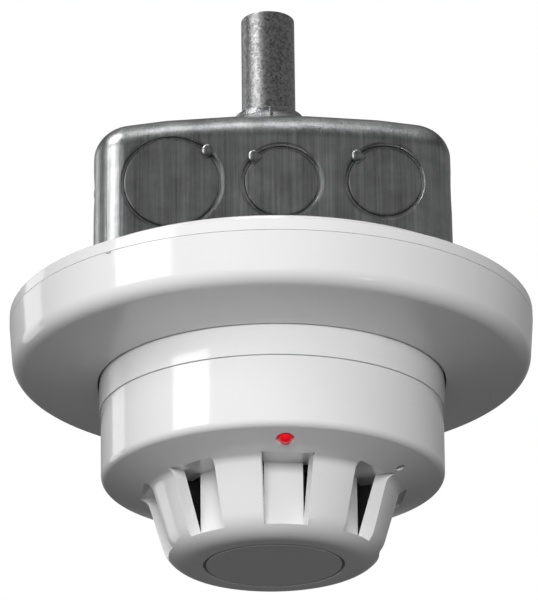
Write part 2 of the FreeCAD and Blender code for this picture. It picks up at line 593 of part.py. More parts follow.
def head_chassis():
    flange_top = f"{HEAD_TOP} - 0.5"
    flange = f"{HEAD_RADIUS} - head_wall - chassis_fit"
    inner = f"{CHASSIS_NECK} - chassis_wall"
    shell = turned_body("ChassisShell", [
        ("0", CHASSIS_TOP), (CHASSIS_NECK, CHASSIS_TOP), (CHASSIS_NECK, flange_top),
        (flange, flange_top), (flange, f"{flange_top} - chassis_flange"),
        (inner, f"{flange_top} - chassis_flange"), (inner, CHASSIS_UNDER), ("0", CHASSIS_UNDER)],
        rounds=[(1, "0.6")])
    added, holes = [], []
    for number, third in enumerate(THIRDS):
        added.append(sector(f"Lug{number}", f"{CHASSIS_NECK} - 0.8", f"{CHASSIS_NECK} + lug_reach",
                            f"{LEDGE} + 0.3", f"{LEDGE} + 0.3 + lug_height",
                            value("lug_azimuth") + third, "lug_angle"))
        added.append(cylinder(f"Standoff{number}", "standoff_radius", BOARD_TOP,
                              f"{CHASSIS_UNDER} + 0.5",
                              at_azimuth(value("boss_azimuth") + third + 60, value("standoff_place"))))
        holes.append(cylinder(f"ChassisHole{number}", "screw_shank + slide_gap",
                              f"{CHASSIS_UNDER} - 1", f"{CHASSIS_TOP} + 1",
                              at_azimuth(value("boss_azimuth") + third, value(BOSS_PLACE))))
    node(cut("HeadChassis", fuse("ChassisWhole", [shell] + added), holes), "head_chassis")

    blades = []
    for number, third in enumerate(THIRDS):
        azimuth = value("contact_azimuth") + third
        blades.append(sector(f"Blade{number}", f"{CONTACT_PLACE} - blade_thick*0.5",
                             f"{CONTACT_PLACE} + blade_thick*0.5", CHASSIS_TOP,
                             f"{CHASSIS_TOP} + blade_height", azimuth, "blade_angle"))
    node(group("ContactBlades", blades), "contact_blades")

    screws = []
    for number, third in enumerate(THIRDS):
        place = at_azimuth(value("boss_azimuth") + third, value(BOSS_PLACE))
        cap = cylinder(f"HeadScrewCap{number}", "screw_head - 0.4", CHASSIS_TOP,
                       f"{CHASSIS_TOP} + screw_head_height*0.8", place)
        stem = cylinder(f"HeadScrewStem{number}", "boss_bore - 0.05", f"{CHASSIS_UNDER} - 10",
                        f"{CHASSIS_TOP} + 0.5", place)
        screws.append(fuse(f"HeadScrew{number}", [cap, stem]))
    node(group("HeadScrews", screws), "head_screws")


def electronics():
    disc = cylinder("BoardDisc", f"{HEAD_RADIUS} - head_wall - board_inset", BOARD_UNDER, BOARD_TOP)
    notches = [cylinder(f"BoardNotch{n}", "board_notch", f"{BOARD_UNDER} - 1", f"{BOARD_TOP} + 1",
                        at_azimuth(value("boss_azimuth") + third, value(BOSS_PLACE)))
               for n, third in enumerate(THIRDS)]
    node(cut("Board", disc, notches), "circuit_board")
    chip = block("Chip", "chip_side", "chip_side", "chip_height", BOARD_TOP, 250.0, "chip_place")
    node(chip, "processor_chip")
    cans = [cylinder(f"Can{n}", "capacitor_radius", BOARD_TOP,
                     f"{BOARD_TOP} + capacitor_height", at_azimuth(a, value("capacitor_place")))
            for n, a in enumerate((320.0, 345.0))]
    node(group("Capacitors", cans), "capacitors")
    header = block("Header", "header_width", "header_length", "header_height", BOARD_TOP, 80.0,
                   "capacitor_place")
    node(header, "wire_header")
    emitter = block("Emitter", "emitter_side", "emitter_side", "emitter_height",
                    f"{BOARD_UNDER} - emitter_height", value("lamp_azimuth"),
                    f"{LAMP_PLACE} - emitter_side*0.5")
    node(emitter, "lamp_emitter")


def lamp():
    place = at_azimuth(value("lamp_azimuth"), value(LAMP_PLACE))
    face = f"{HEAD_LOW} - lamp_sink"
    pipe = cylinder("LampPipe", "lamp_radius", face, f"{BOARD_UNDER} - emitter_height - 0.2", place)
    dome = make("Part::Sphere", "LampDome", Radius="lamp_radius")
    dome.Placement.Base = place + UP * value(face)
    node(fuse("LampLens", [pipe, dome]), "lamp_lens")
    outer = cylinder("BezelOuter", "bezel_radius - 0.05", face, f"{HEAD_LOW} + 1.4", place)
    bore = cylinder("BezelBore", "lamp_radius + 0.08", f"{face} - 2", f"{HEAD_LOW} + 3", place)
    node(cut("LampBezel", outer, [bore]), "lamp_bezel")


def sensing():
    flange_low = CEILING_TOP
    inner = "baffle_radius - baffle_wall"
    drum = turned_body("BaffleDrum", [
        (inner, BAFFLE_LOW), ("baffle_radius", BAFFLE_LOW), ("baffle_radius", flange_low),
        ("baffle_flange", flange_low), ("baffle_flange", f"{flange_low} + baffle_flange_thick"),
        (inner, f"{flange_low} + baffle_flange_thick")])
    count = int(value("vent_count"))
    pitch = 360.0 / count
    windows, ribs = [], []
    slope_top = "nose_root - petal_thick - rib_gap"
    slope_foot = "nose_foot - petal_thick - rib_gap"
    for number in range(count):
        azimuth = value("vent_azimuth") + (number + 0.5) * pitch
        windows.append(sector(f"Window{number}", f"{inner} - 1", "baffle_radius + 1",
                              f"{BAFFLE_LOW} + window_rise", ROOT, azimuth,
                              "baffle_window*0.5"))
        ribs.append(turned_body(f"Rib{number}", [
            (inner, f"{VENT_FLOOR} + 2"), (slope_foot, f"{VENT_FLOOR} + 2"),
            (slope_top, f"{CEILING} - 1"), (inner, f"{CEILING} - 1")],
            angle=value("rib_angle"), azimuth=azimuth))
    pierced = cut("BafflePierced", drum, windows)
    node(fuse("ChamberBaffle", [pierced] + ribs), "chamber_baffle")

    post = make("Part::Cone", "HolderPost", Radius1="holder_tip", Radius2="holder_top",
                Height=f"{BOARD_UNDER} - ({HOLDER_LOW})")
    post.Placement.Base = UP * value(HOLDER_LOW)
    bores, leads = [], []
    for number, sign in enumerate((-1, 1)):
        place = FreeCAD.Vector(sign * value("lead_spread"), 0, 0)
        bores.append(cylinder(f"LeadBore{number}", "lead_radius + 0.05", f"{HOLDER_LOW} - 1",
                              f"{BOARD_UNDER} + 1", place))
        leads.append(cylinder(f"Lead{number}", "lead_radius", f"{BEAD} + bead_radius*0.85",
                              BOARD_UNDER, place))
    node(cut("ThermistorHolder", post, bores), "thermistor_holder")
    node(group("ThermistorLeads", leads), "thermistor_leads")
    bead = make("Part::Sphere", "ThermistorBead", Radius="bead_radius")
    bead.Placement.Base = UP * value(BEAD)
    sockets = [cylinder(f"BeadSocket{n}", "lead_radius", f"{BEAD} + bead_radius*0.85",
                        f"{BEAD} + 4", FreeCAD.Vector(sign * value("lead_spread"), 0, 0))
               for n, sign in enumerate((-1, 1))]
    node(cut("Bead", bead, sockets), "thermistor_bead")


def check(thing):
    if {"Invalid", "Error"} & set(thing.State):
        raise RuntimeError(f"{thing.Label} failed: {thing.State}")


conduit()
connector()
junction_box()
box_screws()
mounting_plate()
trim_flange()
detector_base()
terminals()
head_cover()
nose_disc()
head_chassis()
electronics()
lamp()
sensing()
doc.recompute()

for thing in doc.Objects:
    check(thing)
for thing in nodes:
    if thing.Shape.isNull() or not thing.Shape.isValid() or not thing.Shape.Solids:
        raise RuntimeError(f"{thing.Label} has no valid solid")

os.makedirs("parts", exist_ok=True)
for thing in nodes:
    thing.Shape.exportStep(f"parts/{thing.Label}.step")
    print(thing.Label, len(thing.Shape.Solids), round(thing.Shape.Volume, 1))
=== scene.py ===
"""Looks for a plug-in heat detector on its flange, steel box and conduit stub."""
import json
import math

import bmesh
import bpy
from mathutils import Matrix, Vector


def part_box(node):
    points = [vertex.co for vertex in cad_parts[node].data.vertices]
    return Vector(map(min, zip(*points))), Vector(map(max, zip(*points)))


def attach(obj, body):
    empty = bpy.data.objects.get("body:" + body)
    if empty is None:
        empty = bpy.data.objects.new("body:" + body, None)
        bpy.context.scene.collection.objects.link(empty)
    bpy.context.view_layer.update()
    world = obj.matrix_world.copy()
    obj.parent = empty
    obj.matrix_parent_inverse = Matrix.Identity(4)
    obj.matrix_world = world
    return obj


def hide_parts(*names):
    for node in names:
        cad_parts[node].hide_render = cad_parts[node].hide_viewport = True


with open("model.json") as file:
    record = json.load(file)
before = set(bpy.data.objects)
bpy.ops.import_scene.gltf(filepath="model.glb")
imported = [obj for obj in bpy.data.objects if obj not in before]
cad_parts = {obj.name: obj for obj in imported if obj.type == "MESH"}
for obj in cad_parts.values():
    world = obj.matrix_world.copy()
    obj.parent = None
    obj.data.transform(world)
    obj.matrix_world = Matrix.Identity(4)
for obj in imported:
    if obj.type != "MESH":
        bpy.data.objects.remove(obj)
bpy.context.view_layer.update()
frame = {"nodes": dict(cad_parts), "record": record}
NODES = frame["nodes"]
MM = 0.001
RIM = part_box("mounting_plate")[1].z - 4.2 * MM     # top of the flange rim, the level heights start from
STEPS = 144                                        # sides of a turned piece


def level(height):
    """A height in millimetres above the flange rim, in the frame's metres."""
    return RIM + height * MM


# ---------------------------------------------------------------- camera, lights, floor

def rig_camera():
    reach, drop, side = 1.0, 389.8 * MM, -2.66 * MM
    yaw, pitch, roll = 0.0021, 0.3768, -0.0116
    box_turn = 0.0187
    data = bpy.data.cameras.new("viewpoint")
    data.sensor_width = 36.0
    data.lens = 220.4
    data.clip_end = 20.0
    camera = bpy.data.objects.new("viewpoint", data)
    bpy.context.scene.collection.objects.link(camera)
    aim = (Matrix.Rotation(-yaw, 4, "Z") @ Matrix.Rotation(math.pi / 2 + pitch, 4, "X")
           @ Matrix.Rotation(roll, 4, "Z"))
    place = Matrix.Translation((side, -reach, RIM - drop))
    camera.matrix_world = Matrix.Rotation(-box_turn, 4, "Z") @ place @ aim
    bpy.context.scene.camera = camera
    return camera


def softbox(name, azimuth, elevation, distance, width, height, watts, colour=(1, 1, 1), spread=180):
    """An area light aimed at the head from an azimuth, degrees from the front to the right."""
    data = bpy.data.lights.new(name, "AREA")
    data.shape = "RECTANGLE"
    data.size, data.size_y = width, height
    data.energy = watts
    data.color = colour
    data.spread = math.radians(spread)
    lamp = bpy.data.objects.new(name, data)
    bpy.context.scene.collection.objects.link(lamp)
    turn, tilt = math.radians(azimuth), math.radians(elevation)
    away = Vector((math.sin(turn) * math.cos(tilt), -math.cos(turn) * math.cos(tilt), math.sin(tilt)))
    target = Vector((0, 0, level(-25)))
    lamp.location = target + away * distance
    lamp.rotation_euler = (-away).to_track_quat("-Z", "Y").to_euler()
    return lamp


def sky(nodes, links, tones):
    """A grey surround: tones are (share of the way from floor to ceiling, brightness)."""
    glow = nodes.new("ShaderNodeBackground")
    coords = nodes.new("ShaderNodeTexCoord")
    split = nodes.new("ShaderNodeSeparateXYZ")
    remap = nodes.new("ShaderNodeMapRange")
    remap.inputs["From Min"].default_value = -1.0
    ramp = nodes.new("ShaderNodeValToRGB")
    stops = ramp.color_ramp.elements
    stops[0].position, stops[1].position = tones[0][0], tones[-1][0]
    stops[0].color, stops[1].color = (tones[0][1],) * 3 + (1,), (tones[-1][1],) * 3 + (1,)
    for place, tone in tones[1:-1]:
        stops.new(place).color = (tone, tone, tone, 1)
    links.new(coords.outputs["Generated"], split.inputs[0])
    links.new(split.outputs["Z"], remap.inputs["Value"])
    links.new(remap.outputs["Result"], ramp.inputs["Fac"])
    links.new(ramp.outputs["Color"], glow.inputs["Color"])
    return glow


def light_studio():
    softbox("left_window", -55, 22, 0.9, 0.40, 0.44, 2.3)
    softbox("low_glint", 41, -30, 1.0, 0.16, 0.03, 0.10)
    wall = softbox("left_wall", -124, 8, 1.0, 0.30, 1.0, 1.3)
    wall.visible_diffuse = False
    key = softbox("front_key", -4, 0, 1.5, 0.8, 0.5, 16.0)
    key.visible_glossy = False
    back = softbox("back_fill", 178, 32, 1.7, 1.0, 0.8, 14.0)
    back.visible_glossy = False
    for name, azimuth, elevation, watts in (("metal_left", -70, 54, 4.0), ("metal_top", -12, 74, 0.7)):
        glint = softbox(name, azimuth, elevation, 1.0, 0.25, 0.30, watts)
        glint.visible_diffuse = False
    world = bpy.data.worlds.new("studio")
    bpy.context.scene.world = world
    world.use_nodes = True
    nodes, links = world.node_tree.nodes, world.node_tree.links
    nodes.clear()
    output = nodes.new("ShaderNodeOutputWorld")
    path = nodes.new("ShaderNodeLightPath")
    seen = nodes.new("ShaderNodeBackground")
    seen.inputs["Color"].default_value = (1, 1, 1, 1)
    soft = sky(nodes, links, ((0.0, 0.075), (0.5, 0.15), (1.0, 0.30)))
    mirrored = sky(nodes, links, ((0.0, 0.02), (0.5, 0.13), (0.68, 0.34), (0.85, 0.10), (1.0, 0.55)))
    inner, outer = nodes.new("ShaderNodeMixShader"), nodes.new("ShaderNodeMixShader")
    links.new(path.outputs["Is Glossy Ray"], inner.inputs["Fac"])
    links.new(soft.outputs[0], inner.inputs[1])
    links.new(mirrored.outputs[0], inner.inputs[2])
    links.new(path.outputs["Is Camera Ray"], outer.inputs["Fac"])
    links.new(inner.outputs[0], outer.inputs[1])
    links.new(seen.outputs[0], outer.inputs[2])
    links.new(outer.outputs[0], output.inputs["Surface"])
    bpy.context.scene.view_settings.view_transform = "Standard"
    bpy.context.scene.view_settings.look = "None"


def lay_floor():
    clear_selection()
    bpy.ops.mesh.primitive_plane_add(size=14, location=(0, 0, -1.5))
    floor = bpy.context.object
    floor.name = "pale_floor"
    floor.visible_diffuse = floor.visible_glossy = False
    paint = bpy.data.materials.new("pale_floor")
    paint.use_nodes = True
    shader = paint.node_tree.nodes["Principled BSDF"]
    shader.inputs["Base Color"].default_value = (0.86, 0.86, 0.86, 1)
    shader.inputs["Roughness"].default_value = 0.8
    floor.data.materials.append(paint)


# ---------------------------------------------------------------- materials

class Finish:
    """A small helper that lays out one procedural material."""

    def __init__(self, name):
        self.material = bpy.data.materials.new(name)
        self.material.use_nodes = True
        self.nodes = self.material.node_tree.nodes
        self.links = self.material.node_tree.links
        self.shader = self.nodes["Principled BSDF"]
        self.coords = self.nodes.new("ShaderNodeTexCoord").outputs["Object"]
        self.height = None

    def set(self, **values):
        for socket, value in values.items():
            self.shader.inputs[socket.replace("_", " ")].default_value = value

    def stretched(self, x, y, z):
        mapping = self.nodes.new("ShaderNodeMapping")
        mapping.inputs["Scale"].default_value = (x, y, z)
        self.links.new(self.coords, mapping.inputs["Vector"])
        return mapping.outputs["Vector"]

    def noise(self, scale, detail=3.0, roughness=0.5, vector=None, distortion=0.0):
        node = self.nodes.new("ShaderNodeTexNoise")
        node.inputs["Scale"].default_value = scale
        node.inputs["Detail"].default_value = detail
        node.inputs["Roughness"].default_value = roughness
        node.inputs["Distortion"].default_value = distortion
        self.links.new(vector or self.coords, node.inputs["Vector"])
        return node.outputs["Fac"]

    def cells(self, scale, vector=None):
        node = self.nodes.new("ShaderNodeTexVoronoi")
        node.inputs["Scale"].default_value = scale
        self.links.new(vector or self.coords, node.inputs["Vector"])
        return node.outputs["Color"]

    def ramp(self, source, stops):
        node = self.nodes.new("ShaderNodeValToRGB")
        elements = node.color_ramp.elements
        elements[0].position, elements[0].color = stops[0][0], (*stops[0][1], 1)
        elements[1].position, elements[1].color = stops[-1][0], (*stops[-1][1], 1)
        for place, colour in stops[1:-1]:
            elements.new(place).color = (*colour, 1)
        self.links.new(source, node.inputs["Fac"])
        return node.outputs["Color"]

    def span(self, source, low, high):
        node = self.nodes.new("ShaderNodeMapRange")
        node.inputs["To Min"].default_value = low
        node.inputs["To Max"].default_value = high
        self.links.new(source, node.inputs["Value"])
        return node.outputs["Result"]

    def blend(self, factor, first, second):
        node = self.nodes.new("ShaderNodeMix")
        node.data_type = "RGBA"
        node.blend_type = "MIX"
        if isinstance(factor, float):
            node.inputs["Factor"].default_value = factor
        else:
            self.links.new(factor, node.inputs["Factor"])
        self.links.new(first, node.inputs["A"])
        self.links.new(second, node.inputs["B"])
        return node.outputs["Result"]

    def colour(self, source):
        self.links.new(source, self.shader.inputs["Base Color"])

    def rough(self, source):
        self.links.new(source, self.shader.inputs["Roughness"])

    def bump(self, source, depth, strength=1.0):
        node = self.nodes.new("ShaderNodeBump")
        node.inputs["Strength"].default_value = strength
        node.inputs["Distance"].default_value = depth
        self.links.new(source, node.inputs["Height"])
        if self.height:
            self.links.new(self.height, node.inputs["Normal"])
        self.height = node.outputs["Normal"]
        self.links.new(self.height, self.shader.inputs["Normal"])


def moulded_plastic(name, light, gloss, peel=0.000012, warm=0.0):
    """Moulded plastic: a faint colour drift, orange peel and fine handling marks."""
    finish = Finish(name)
    dim = tuple(c * 0.965 for c in light)
    finish.colour(finish.ramp(finish.noise(38, 4), [(0.25, dim), (0.75, light)]))
    marks = finish.noise(900, 5, 0.65)
    finish.rough(finish.span(marks, gloss * 0.8, gloss * 1.35))
    finish.bump(finish.noise(260, 2), peel)
    finish.bump(finish.noise(2600, 2), peel * 0.25)
    finish.set(IOR=1.5, Coat_Weight=0.25, Coat_Roughness=0.05)
    return finish.material


def brushed_box_steel():
    """Drawn galvanised steel: dark grey with fine upright drawing streaks and pits."""
    finish = Finish("drawn_box_steel")
    streaks = finish.noise(1.0, 6, 0.7, finish.stretched(1500, 1500, 22))
    wide = finish.noise(1.0, 3, 0.6, finish.stretched(210, 210, 9))
    mottle = finish.noise(160, 4, 0.6)
    tone = finish.blend(0.4, streaks, wide)
    tone = finish.blend(0.25, tone, mottle)
    finish.colour(finish.ramp(tone, [(0.34, (0.17, 0.172, 0.175)), (0.5, (0.32, 0.325, 0.327)),
                                     (0.66, (0.52, 0.525, 0.53))]))
    finish.rough(finish.span(streaks, 0.20, 0.40))
    finish.set(Metallic=1.0)
    finish.bump(streaks, 0.00006)
    finish.bump(mottle, 0.00005)
    return finish.material


def galvanised(name, low, high, scale, rough=(0.22, 0.42)):
    """Zinc coat with small crystals, each a slightly different grey."""
    finish = Finish(name)
    crystals = finish.cells(scale)
    grain = finish.noise(scale * 2.2, 5, 0.6)
    tone = finish.blend(0.5, crystals, grain)
    finish.colour(finish.ramp(tone, [(0.2, low), (0.8, high)]))
    finish.rough(finish.span(grain, *rough))
    finish.set(Metallic=1.0)
    finish.bump(grain, 0.00008)
    return finish.material


def plated(name, low, high, rough=0.25):
    """Bright plated hardware with fine turning marks."""
    finish = Finish(name)
    rings = finish.noise(1.0, 4, 0.6, finish.stretched(300, 300, 2600))
    finish.colour(finish.ramp(rings, [(0.3, low), (0.7, high)]))
    finish.rough(finish.span(finish.noise(700, 4), rough * 0.7, rough * 1.5))
    finish.set(Metallic=1.0)
    finish.bump(rings, 0.00003)
    return finish.material


def board_laminate():
    finish = Finish("board_laminate")
    weave = finish.noise(1.0, 2, 0.5, finish.stretched(1800, 300, 300))
    finish.colour(finish.ramp(weave, [(0.3, (0.012, 0.10, 0.04)), (0.7, (0.03, 0.19, 0.08))]))
    finish.rough(finish.span(weave, 0.3, 0.45))
    finish.bump(weave, 0.00003)
    return finish.material


def lamp_red():
    finish = Finish("lamp_red_lens")
    glow = finish.noise(900, 2)
    finish.colour(finish.ramp(glow, [(0.2, (0.62, 0.0, 0.012)), (0.8, (0.85, 0.008, 0.02))]))
    finish.rough(finish.span(glow, 0.05, 0.1))
    finish.set(IOR=1.5, Coat_Weight=0.6, Coat_Roughness=0.03)
    finish.set(Emission_Color=(0.9, 0.0, 0.01, 1), Emission_Strength=0.25)
    return finish.material


FINISHES = {
    "galvanised": galvanised("mottled_zinc_tube", (0.11, 0.11, 0.112), (0.46, 0.46, 0.465), 1500),
    "box_steel": brushed_box_steel(),
    "zinc_cast": galvanised("zinc_casting", (0.20, 0.203, 0.205), (0.42, 0.425, 0.43), 1500, (0.2, 0.32)),
    "zinc_screw": plated("zinc_plated", (0.50, 0.50, 0.48), (0.72, 0.72, 0.70)),
    "green_screw": moulded_plastic("green_screw_dye", (0.03, 0.26, 0.09), 0.3),
    "white_gloss": moulded_plastic("white_gloss_plastic", (0.86, 0.855, 0.86), 0.11),
    "white_matte": moulded_plastic("white_satin_plastic", (0.74, 0.74, 0.745), 0.32),
    "black_plastic": moulded_plastic("black_plastic", (0.012, 0.012, 0.013), 0.5, 0.00003),
    "contact_brass": plated("contact_brass", (0.60, 0.42, 0.16), (0.80, 0.60, 0.28)),
    "board_green": board_laminate(),
    "chip_black": moulded_plastic("chip_epoxy", (0.016, 0.016, 0.017), 0.45, 0.00003),
    "header_white": moulded_plastic("header_nylon", (0.70, 0.68, 0.60), 0.45),
    "lamp_red": lamp_red(),
    "emitter": moulded_plastic("emitter_resin", (0.80, 0.76, 0.60), 0.2),
    "bezel_white": moulded_plastic("bezel_white_plastic", (0.93, 0.74, 0.79), 0.12),
    "thermistor_epoxy": moulded_plastic("thermistor_epoxy", (0.03, 0.03, 0.035), 0.2),
    "lead_wire": plated("tinned_wire", (0.52, 0.50, 0.46), (0.70, 0.68, 0.62)),
}
SLOT_OF = {entry["node"]: entry["material_slot"] for entry in frame["record"]["subparts"]}


# ---------------------------------------------------------------- shaping helpers

def clear_selection():
    if bpy.context.object and bpy.context.object.mode != "OBJECT":
        bpy.ops.object.mode_set(mode="OBJECT")
    bpy.ops.object.select_all(action="DESELECT")


def pick(thing):
    """Makes one piece the only selected and active one."""
    clear_selection()
    thing.select_set(True)
    bpy.context.view_layer.objects.active = thing
    return thing


def start(kind, name, **place):
    """Adds a primitive and opens it in edit mode, with nothing selected but itself."""
    clear_selection()
    getattr(bpy.ops.mesh, f"primitive_{kind}_add")(**place)
    thing = bpy.context.object
    thing.name = thing.data.name = name
    bpy.ops.object.transform_apply(location=True, rotation=True, scale=True)
    bpy.ops.object.mode_set(mode="EDIT")
    bpy.ops.mesh.select_mode(type="VERT")
    bpy.ops.mesh.select_all(action="SELECT")
    return thing


def choose(thing, kind, wanted):
    """Selects, in edit mode, the vertices, edges or faces for which wanted(place, element) holds."""
    bpy.ops.mesh.select_mode(type={"verts": "VERT", "edges": "EDGE", "faces": "FACE"}[kind])
    bpy.ops.mesh.select_all(action="DESELECT")
    mesh = bmesh.from_edit_mesh(thing.data)
    found = 0
    for element in getattr(mesh, kind):
        if kind == "verts":
            place = element.co
        elif kind == "edges":
            place = (element.verts[0].co + element.verts[1].co) / 2
        else:
            place = element.calc_center_median()
        if wanted(place, element):
            element.select = True
            found += 1
    mesh.select_flush(True)
    bmesh.update_edit_mesh(thing.data)
    return found


def softened(corners):
    """Outline points in millimetres: corners are (radius, height) or (radius, height, round)."""
    points = []
    count = len(corners)
    for index, corner in enumerate(corners):
        here = Vector(corner[:2])
        if len(corner) < 3:
            points.append(here)
            continue
        back = (Vector(corners[index - 1][:2]) - here).normalized()
        ahead = (Vector(corners[(index + 1) % count][:2]) - here).normalized()
        half = back.angle(ahead) / 2
        reach = corner[2] / math.tan(half)
        middle = here + (back + ahead).normalized() * corner[2] / math.sin(half)
        first, last = here + back * reach - middle, here + ahead * reach - middle
        sweep = math.pi - 2 * half
        parts = 4 if corner[2] < 0.7 else 6 if corner[2] < 3 else 10
        for part in range(parts + 1):
            share = part / parts
            arm = (first * math.sin((1 - share) * sweep) + last * math.sin(share * sweep)) / math.sin(sweep)
            points.append(middle + arm)
    return points


def draw(name, points, closed):
    """Draws an outline upright over the X axis, extruding one vertex from point to point."""
    thing = start("plane", name, size=MM, location=(points[0].x * MM, 0, level(points[0].y)))
    bpy.ops.mesh.select_all(action="SELECT")
    bpy.ops.mesh.merge(type="CENTER")
    for here, there in zip(points, points[1:]):
        move = ((there.x - here.x) * MM, 0, (there.y - here.y) * MM)
        bpy.ops.mesh.extrude_region_move(TRANSFORM_OT_translate={"value": move})
    if closed:
        mesh = bmesh.from_edit_mesh(thing.data)
        mesh.verts.ensure_lookup_table()
        for vertex in mesh.verts:
            vertex.select = vertex.index in (0, len(mesh.verts) - 1)
        mesh.select_flush(True)
        bmesh.update_edit_mesh(thing.data)
        bpy.ops.mesh.edge_face_add()
    return thing


def turned(name, corners, steps=STEPS, closed=True, angle=360.0):
    """A piece turned about the upright axis from an outline of (radius, height[, round]) corners."""
    thing = draw(name, softened(corners), closed)
    bpy.ops.mesh.select_all(action="SELECT")
    bpy.ops.mesh.spin(steps=steps, angle=math.radians(angle), center=(0, 0, 0), axis=(0, 0, 1))
    bpy.ops.mesh.select_all(action="SELECT")
    bpy.ops.mesh.remove_doubles(threshold=0.015 * MM)
    bpy.ops.mesh.normals_make_consistent(inside=False)
    bpy.ops.object.mode_set(mode="OBJECT")
    return thing


def peg(name, radius, low, high, place=(0, 0), sides=40):
    """An upright round peg between two heights, in millimetres."""
    thing = start("cylinder", name, radius=radius * MM, depth=(high - low) * MM, vertices=sides,
                  location=(place[0] * MM, place[1] * MM, level((low + high) / 2)))
    bpy.ops.object.mode_set(mode="OBJECT")
    return thing


def slab(name, size, middle, round_by=0.0, parts=3):
    """A block with rounded edges: size and middle in millimetres."""
    thing = start("cube", name, size=1, location=(middle[0] * MM, middle[1] * MM, level(middle[2])),
                  scale=[side * MM for side in size])
    if round_by:
        bpy.ops.mesh.select_all(action="SELECT")
        bpy.ops.mesh.bevel(offset=round_by * MM, segments=parts, affect="EDGES")
    bpy.ops.object.mode_set(mode="OBJECT")
    return thing


def spun_to(thing, azimuth):
    """Turns a piece made over the front (-Y) to an azimuth towards the right (+X)."""
    pick(thing)
    thing.rotation_euler = (0, 0, math.radians(azimuth))
    bpy.ops.object.transform_apply(location=True, rotation=True, scale=True)
    return thing


def copied(thing, azimuths):
    """One copy of a piece per azimuth, each with its own mesh; the pattern piece itself is removed."""
    made = []
    for number, azimuth in enumerate(azimuths):
        twin = thing.copy()
        twin.data = thing.data.copy()
        twin.name = f"{thing.name}_{number}"
        bpy.context.scene.collection.objects.link(twin)
        made.append(spun_to(twin, azimuth))
    bpy.data.objects.remove(thing)
    return made


def joined(things):
    """Joins several pieces into the first."""
    clear_selection()
    for thing in things:
        thing.select_set(True)
    bpy.context.view_layer.objects.active = things[0]
    bpy.ops.object.join()
    return bpy.context.object


def carved(piece, cutters):
    """Takes the cutters away from a piece, and removes them."""
    cutter = joined(cutters) if len(cutters) > 1 else cutters[0]
    pick(piece)
    change = piece.modifiers.new("carve", "BOOLEAN")
    change.operation = "DIFFERENCE"
    change.solver = "EXACT"
    change.use_self = len(cutters) > 1
    change.object = cutter
    bpy.ops.object.modifier_apply(modifier=change.name)
    bpy.data.objects.remove(cutter)
    return piece


def eased(piece, width, wanted, parts=2, sharper=30.0):
    """Rounds the sharp edges of a piece that lie where wanted(place) says."""
    pick(piece)
    bpy.ops.object.mode_set(mode="EDIT")
    bpy.ops.mesh.select_all(action="SELECT")
    bpy.ops.mesh.remove_doubles(threshold=0.004 * MM)
    limit = math.radians(sharper)
    found = choose(piece, "edges", lambda place, edge: len(edge.link_faces) == 2
                   and edge.calc_face_angle() > limit and wanted(place, edge))
    if found:
        bpy.ops.mesh.bevel(offset=width * MM, segments=parts, affect="EDGES", clamp_overlap=True)
    bpy.ops.object.mode_set(mode="OBJECT")
    return piece


def settle(piece, node, angle=32.0):
    """Gives a finished piece its finish, its body and the node that it stands for."""
    pick(piece)
    bpy.ops.object.transform_apply(location=True, rotation=True, scale=True)
    bpy.ops.object.shade_smooth_by_angle(angle=math.radians(angle))
    even = piece.modifiers.new("even", "WEIGHTED_NORMAL")
    even.keep_sharp = True
    bpy.ops.object.modifier_apply(modifier=even.name)
    piece.name = piece.data.name = node + "_skin"
    piece.data.materials.clear()
    piece.data.materials.append(FINISHES[SLOT_OF[node]])
    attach(piece, BODY_OF[node])
    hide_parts(node)
    return piece


def radius_of(place):
    return math.hypot(place.x, place.y) / MM


def height_of(place):
    return (place.z - RIM) / MM


# ---------------------------------------------------------------- conduit, connector and steel box

BOX_LOW, BOX_TOP, BOX_HALF, BOX_WALL = 4.2, 45.5, 50.8, 1.6
TUBE_TOP, TUBE_FOOT = 95.99, 50.5
THIRDS = (0.0, 120.0, 240.0)                       # azimuths of what comes in threes
BASE_SCREW, BASE_SCREW_HOLE = 26.0, 1.62           # reach from the axis, hole radius
TERMINAL_SCREW, TERMINAL_SCREW_HOLE = 30.0, 1.82
EAR_SCREW = 42.5                                   # how far a box ear's screw lies along X and along Y


def build_conduit():
    """The tube, with its scribed insertion mark just above the nut's lip."""
    tube = turned("tube", [
        (7.0, TUBE_FOOT), (8.0, TUBE_FOOT), (8.0, 63.5), (7.7, 63.5), (7.7, 64.4), (8.0, 64.4),
        (8.0, TUBE_TOP, 0.2), (7.0, TUBE_TOP, 0.35)], 96)
    settle(tube, "conduit")


def build_nut():
    """The gland nut, with two ribs on its shoulder and six lobes on its skirt."""
    nut = turned("nut", [
        (11.32, 53.0), (13.3, 53.0), (13.6, 53.5), (13.6, 58.2, 1.6), (11.9, 61.2, 1.2),
        (10.35, 61.9, 0.5), (10.4, 63.7, 0.35), (8.12, 63.9, 0.25), (8.12, 62.1), (11.32, 58.0)], 128)
    ribs = []
    for side in (2.0, 182.0):
        rib = slab("rib", (1.1, 3.0, 3.2), (0, -11.7, 60.5), 0.3)
        ribs.append(spun_to(rib, side))
    for number in range(6):
        lobe = slab("lobe", (1.6, 1.1, 4.2), (0, -13.6, 55.8), 0.4)
        ribs.append(spun_to(lobe, 30.0 + 60.0 * number))
    settle(joined([nut] + ribs), "connector_nut")


def knockout_plug(radius, tie):
    """What a knockout takes out of a wall in the XY plane: a sunk disc, its groove and flared edge."""
    plug = turned("plug", [
        (0, 1.0), (radius + 0.95, 1.0), (radius + 0.95, 0.0), (radius + 0.35, -0.16), (radius, -0.55),
        (radius - 0.05, -1.15, 0.1), (radius - 0.6, -1.15, 0.2), (radius - 0.85, -0.62),
        (radius - 1.5, -0.42), (0, -0.42)], 96, closed=False)
    bridge = slab("bridge", (3.0, 4.0, 4.0), (0, -radius, 0))
    return carved(plug, [spun_to(bridge, tie)])


